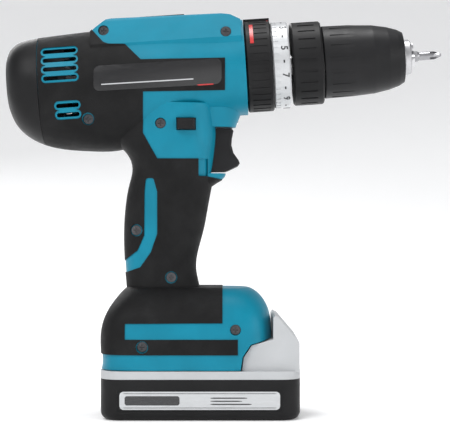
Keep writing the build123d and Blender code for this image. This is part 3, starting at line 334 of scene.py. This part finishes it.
def laid_patch(name, tree, side, outline, spacing, film, material):
    """A thin closed film over one flank. Outline is (x, low, high); film is how far out and in it goes."""
    proud, sunk = film
    columns = len(outline)
    rows = max(3, int(max(high - low for x, low, high in outline) / spacing))
    mesh = bmesh.new()
    front, back = [], []
    for x, low, high in outline:
        for r in range(rows + 1):
            z = low + (high - low) * r / rows
            hit = tree.ray_cast(Vector((x, side * FLANK_REACH, z)), Vector((0, -side, 0)))[0]
            y = hit.y if hit else side * FALLBACK
            front.append(mesh.verts.new((x, y + side * proud, z)))
            back.append(mesh.verts.new((x, y - side * sunk, z)))
    across = rows + 1
    for c in range(columns - 1):
        for r in range(rows):
            i = c * across + r
            mesh.faces.new((front[i], front[i + across], front[i + across + 1], front[i + 1]))
            mesh.faces.new((back[i + 1], back[i + across + 1], back[i + across], back[i]))
        for i in (c * across, c * across + rows):
            mesh.faces.new((front[i], back[i], back[i + across], front[i + across]))
    for c in (0, (columns - 1) * across):
        for i in range(c, c + rows):
            mesh.faces.new((front[i], front[i + 1], back[i + 1], back[i]))
    return new_object(name, mesh, material, FILM_EDGE)


def rounded_outline(x, z, radius, spacing, lean=0.0):
    """Columns of a rounded rectangle; lean is the rise of its centre line per unit of x."""
    columns = max(4, int((x[1] - x[0]) / spacing))
    result = []
    for k in range(columns + 1):
        place = x[0] + (x[1] - x[0]) * (1 - math.cos(math.pi * k / columns)) / 2
        edge = min(place - x[0], x[1] - place)
        cut = radius - math.sqrt(max(0.0, radius ** 2 - max(0.0, radius - edge) ** 2))
        rise = lean * (place - x[0])
        result.append((place, z[0] + cut + rise, z[1] - cut + rise))
    return result


LABEL_BLACK = printed("label_black", (0.012, 0.012, 0.013), rough=(0.16, 0.28))
LABEL_LINE = printed("label_line", (0.42, 0.43, 0.44))
LABEL_RED = printed("label_red", (0.45, 0.02, 0.02))
LABEL_SILVER = printed("label_silver", (0.50, 0.51, 0.52), rough=(0.26, 0.4))
LABEL_DARK = printed("label_dark", (0.03, 0.03, 0.032))

BODY_TREE = surface_of("housing_right", "housing_left", "overmold_right", "overmold_left")
LEAN = math.tan(math.asin(FORWARD.z))
HANDS = ((-1, "right"), (1, "left"))

# how far a film stands out of the flank, and how far it goes in
PANEL_FILM = (0.00025, 0.0003)
PANEL_PRINT = (0.00034, 0.0001)
BADGE_FILM = (0.0001, 0.0001)
BADGE_PRINT = (0.00016, 0.00005)

PANEL_X = (-0.0625, 0.0125)
PANEL_Z = (0.1925, 0.2075)
LINE_Z = (0.1962, 0.1969)
STRIPE_X = (-0.058, -0.004)
TICK_X = (-0.002, 0.008)


def body_label(side, hand):
    """The dark panel on one flank of the body, with a plain stripe and a red tick."""
    shape = rounded_outline(PANEL_X, PANEL_Z, 0.0035, 0.0022, LEAN)
    panel = laid_patch(f"body_label_{hand}", BODY_TREE, side, shape, 0.0022, PANEL_FILM, LABEL_BLACK)
    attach(panel, "housing")
    for word, x, material, slot in (("line", STRIPE_X, LABEL_LINE, "silver_plastic"),
                                    ("tick", TICK_X, LABEL_RED, "black_plastic")):
        shape = rounded_outline(x, LINE_Z, 0.0003, 0.002, LEAN)
        name = f"body_label_{word}_{hand}"
        mark = laid_patch(name, BODY_TREE, side, shape, 0.0002, PANEL_PRINT, material)
        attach(mark, "housing")


for side, hand in HANDS:
    body_label(side, hand)

PACK_TREE = surface_of("battery_base")
BADGE_X = (-0.0470, 0.0466)
BADGE_Z = (0.0066, 0.0172)
BORDER_X = (-0.0450, 0.0446)
BORDERS = ((0.0076, 0.0079), (0.0159, 0.0162))
BLOCK_X = (-0.0440, -0.0120)
BLOCK_Z = (0.0092, 0.0146)
RULE_START = 0.0060
RULE_ENDS = (0.0300, 0.0245, 0.0275)
RULE_FOOT, RULE_PITCH, RULE_HEIGHT = 0.0095, 0.0018, 0.0007


def pack_print(name, side, outline, spacing):
    """One dark mark printed on the battery's silver label."""
    mark = laid_patch(name, PACK_TREE, side, outline, spacing, BADGE_PRINT, LABEL_DARK)
    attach(mark, "battery")


def pack_label(side, hand):
    """The silver label on one side of the battery, with border lines, a dark block and short rules."""
    shape = rounded_outline(BADGE_X, BADGE_Z, 0.0022, 0.004)
    badge = laid_patch(f"pack_label_{hand}", PACK_TREE, side, shape, 0.003, BADGE_FILM, LABEL_SILVER)
    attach(badge, "battery")
    for k, z in enumerate(BORDERS):
        pack_print(f"pack_label_line_{hand}_{k}", side, rounded_outline(BORDER_X, z, 0.0001, 0.006), 0.0003)
    pack_print(f"pack_label_block_{hand}", side, rounded_outline(BLOCK_X, BLOCK_Z, 0.001, 0.003), 0.002)
    for k, end in enumerate(RULE_ENDS):
        foot = RULE_FOOT + RULE_PITCH * k
        shape = rounded_outline((RULE_START, end), (foot, foot + RULE_HEIGHT), 0.0002, 0.004)
        pack_print(f"pack_label_rule_{hand}_{k}", side, shape, 0.0003)


for side, hand in HANDS:
    pack_label(side, hand)


# ---------------------------------------------------------------- markings round the rings
def ring_place(station, radius, angle):
    """A frame on a ring's outside: x round the ring, y forward, z outward; angle 0 is on top."""
    outward = UPWARD * math.cos(angle) - LEFT * math.sin(angle)
    placed = Matrix((FORWARD.cross(outward), FORWARD, outward)).transposed().to_4x4()
    placed.translation = on_axis(station) + outward * radius * MM
    return placed


def lettering(name, text, place, height, thick, material, body):
    """A flat mesh numeral or dash, about a tenth of a millimetre deep; thick widens its strokes."""
    curve = bpy.data.curves.new(name, "FONT")
    curve.body = text
    curve.size = height
    curve.extrude = INK_DEPTH / 2
    curve.offset = thick
    curve.align_x = "CENTER"
    curve.align_y = "CENTER"
    holder = bpy.data.objects.new(name + "_curve", curve)
    bpy.context.scene.collection.objects.link(holder)
    bpy.context.view_layer.update()
    data = bpy.data.meshes.new_from_object(holder.evaluated_get(bpy.context.evaluated_depsgraph_get()))
    bpy.data.objects.remove(holder)
    data.name = name
    data.transform(place)
    data.materials.clear()
    data.materials.append(material)
    obj = bpy.data.objects.new(name, data)
    bpy.context.scene.collection.objects.link(obj)
    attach(obj, body)
    return obj


INK = printed("ring_ink", (0.02, 0.02, 0.022))
INK_DEPTH = 0.00012
RING_RADIUS = 26.02
NUMBER_STATION = 50.0
NUMBER_HEIGHT = 0.0056
SETTINGS = 20
for k in range(SETTINGS):
    place = ring_place(NUMBER_STATION, RING_RADIUS, 2 * math.pi * k / SETTINGS)
    if k % 2 == 0:
        lettering(f"torque_number_{k + 1}", str(k + 1), place, NUMBER_HEIGHT, 0.00012, INK,
                  "torque_ring")
    else:
        lettering(f"torque_dot_{k + 1}", "-", place, NUMBER_HEIGHT, 0.0002, INK,
                  "torque_ring")


def ring_band(name, start, end, radius, angles, thickness, material, body):
    """A thin curved bar lying round a ring between two angles."""
    mesh = bmesh.new()
    steps = 24
    loops = []
    for k in range(steps + 1):
        angle = angles[0] + (angles[1] - angles[0]) * k / steps
        outward = UPWARD * math.cos(angle) - LEFT * math.sin(angle)
        corners = ((start, radius), (end, radius), (end, radius + thickness), (start, radius + thickness))
        loops.append([mesh.verts.new(on_axis(s) + outward * r * MM) for s, r in corners])
    for a, b in zip(loops, loops[1:]):
        for i in range(4):
            mesh.faces.new((a[i], a[(i + 1) % 4], b[(i + 1) % 4], b[i]))
    mesh.faces.new(loops[0])
    mesh.faces.new(loops[-1])
    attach(new_object(name, mesh, material), body)


MARK_ANGLES = (math.radians(-14), math.radians(14))
STRIPE_ANGLES = (math.radians(28), math.radians(64))
ring_band("mode_mark", 41.0, 42.0, 27.2, MARK_ANGLES, 0.16, LABEL_RED, "mode_ring")
ring_band("mode_stripe", 30.2, 32.4, 27.26, STRIPE_ANGLES, 0.14, LABEL_RED, "mode_ring")


# ---------------------------------------------------------------- the clutch spring, copied with its own mesh
def shortening_spring():
    """A copy of the clutch spring, which the clutch nut presses shorter as the torque ring turns, with its own
    mesh, shown in place of the CAD part.
    """
    source = frame["nodes"]["clutch_spring"]
    spring = source.copy()
    spring.data = source.data.copy()
    spring.name = spring.data.name = "clutch_spring_coil"
    bpy.context.scene.collection.objects.link(spring)
    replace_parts(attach(spring, "housing"), "clutch_spring")
    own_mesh(spring)


shortening_spring()

# ---------------------------------------------------------------- floor, light and camera
low, high = CAD_BOUNDS
CENTRE = (Vector(low) + Vector(high)) / 2


FLOOR_RADIUS = 0.8
SWEEP_BEND = 2.4
SWEEP_STEPS = 96
PAPER_LIFT = 0.12


def backdrop():
    """A seamless paper bowl: a round floor that curves up all round."""
    mesh = bmesh.new()
    profile = [(0.02, 0.0), (0.4, 0.0), (FLOOR_RADIUS, 0.0)]
    profile += [(FLOOR_RADIUS + SWEEP_BEND * math.sin(a), SWEEP_BEND * (1 - math.cos(a)))
                for a in (math.radians(d) for d in range(4, 61, 4))]
    rows = []
    for k in range(SWEEP_STEPS):
        a = 2 * math.pi * k / SWEEP_STEPS
        rows.append([mesh.verts.new((r * math.cos(a), r * math.sin(a), z)) for r, z in profile])
    for k, row in enumerate(rows):
        after = rows[(k + 1) % SWEEP_STEPS]
        for i in range(len(profile) - 1):
            mesh.faces.new((row[i], row[i + 1], after[i + 1], after[i]))
    mesh.faces.new([row[0] for row in rows])
    paper = moulded("backdrop_paper", (0.94, 0.94, 0.94), rough=(0.75, 0.85), variation=0.01, specular=0.1)
    shader = paper.node_tree.nodes["Principled BSDF"]
    shader.inputs["Emission Color"].default_value = (1, 1, 1, 1)
    shader.inputs["Emission Strength"].default_value = PAPER_LIFT
    sweep = new_object("backdrop", mesh, paper)
    sweep.data.shade_smooth()


def soft_light(name, place, size, power):
    """A square soft box aimed at the middle of the tool."""
    light = bpy.data.lights.new(name, "AREA")
    light.size = size
    light.energy = power
    obj = bpy.data.objects.new(name, light)
    bpy.context.scene.collection.objects.link(obj)
    obj.location = place
    obj.rotation_euler = (CENTRE - Vector(place)).to_track_quat("-Z", "Y").to_euler()


backdrop()
soft_light("key", (-0.55, -1.1, 1.25), 0.7, 15.5)
soft_light("fill", (1.3, -0.9, 0.6), 0.8, 6)
soft_light("top", (0.1, 0.1, 1.5), 0.6, 12)
soft_light("back", (-0.6, 1.2, 0.9), 0.7, 8)

world = bpy.data.worlds.new("studio")
bpy.context.scene.world = world
world.use_nodes = True
world.node_tree.nodes["Background"].inputs["Color"].default_value = (0.96, 0.97, 1.0, 1)
world.node_tree.nodes["Background"].inputs["Strength"].default_value = 0.42

VIEW_WIDTH = 0.2722  # how wide the picture is at the tool
VIEW_CENTRE = (0.0145, 0.1213)
DISTANCE = 1.0
SENSOR = 36
camera_data = bpy.data.cameras.new("camera")
camera_data.sensor_width = SENSOR
camera_data.lens = SENSOR * DISTANCE / VIEW_WIDTH
camera_data.clip_end = 20
camera = bpy.data.objects.new("camera", camera_data)
bpy.context.scene.collection.objects.link(camera)
camera.location = (VIEW_CENTRE[0], -DISTANCE, VIEW_CENTRE[1])
camera.rotation_euler = (math.radians(90), 0, 0)
bpy.context.scene.camera = camera
bpy.context.scene.view_settings.view_transform = "Standard"
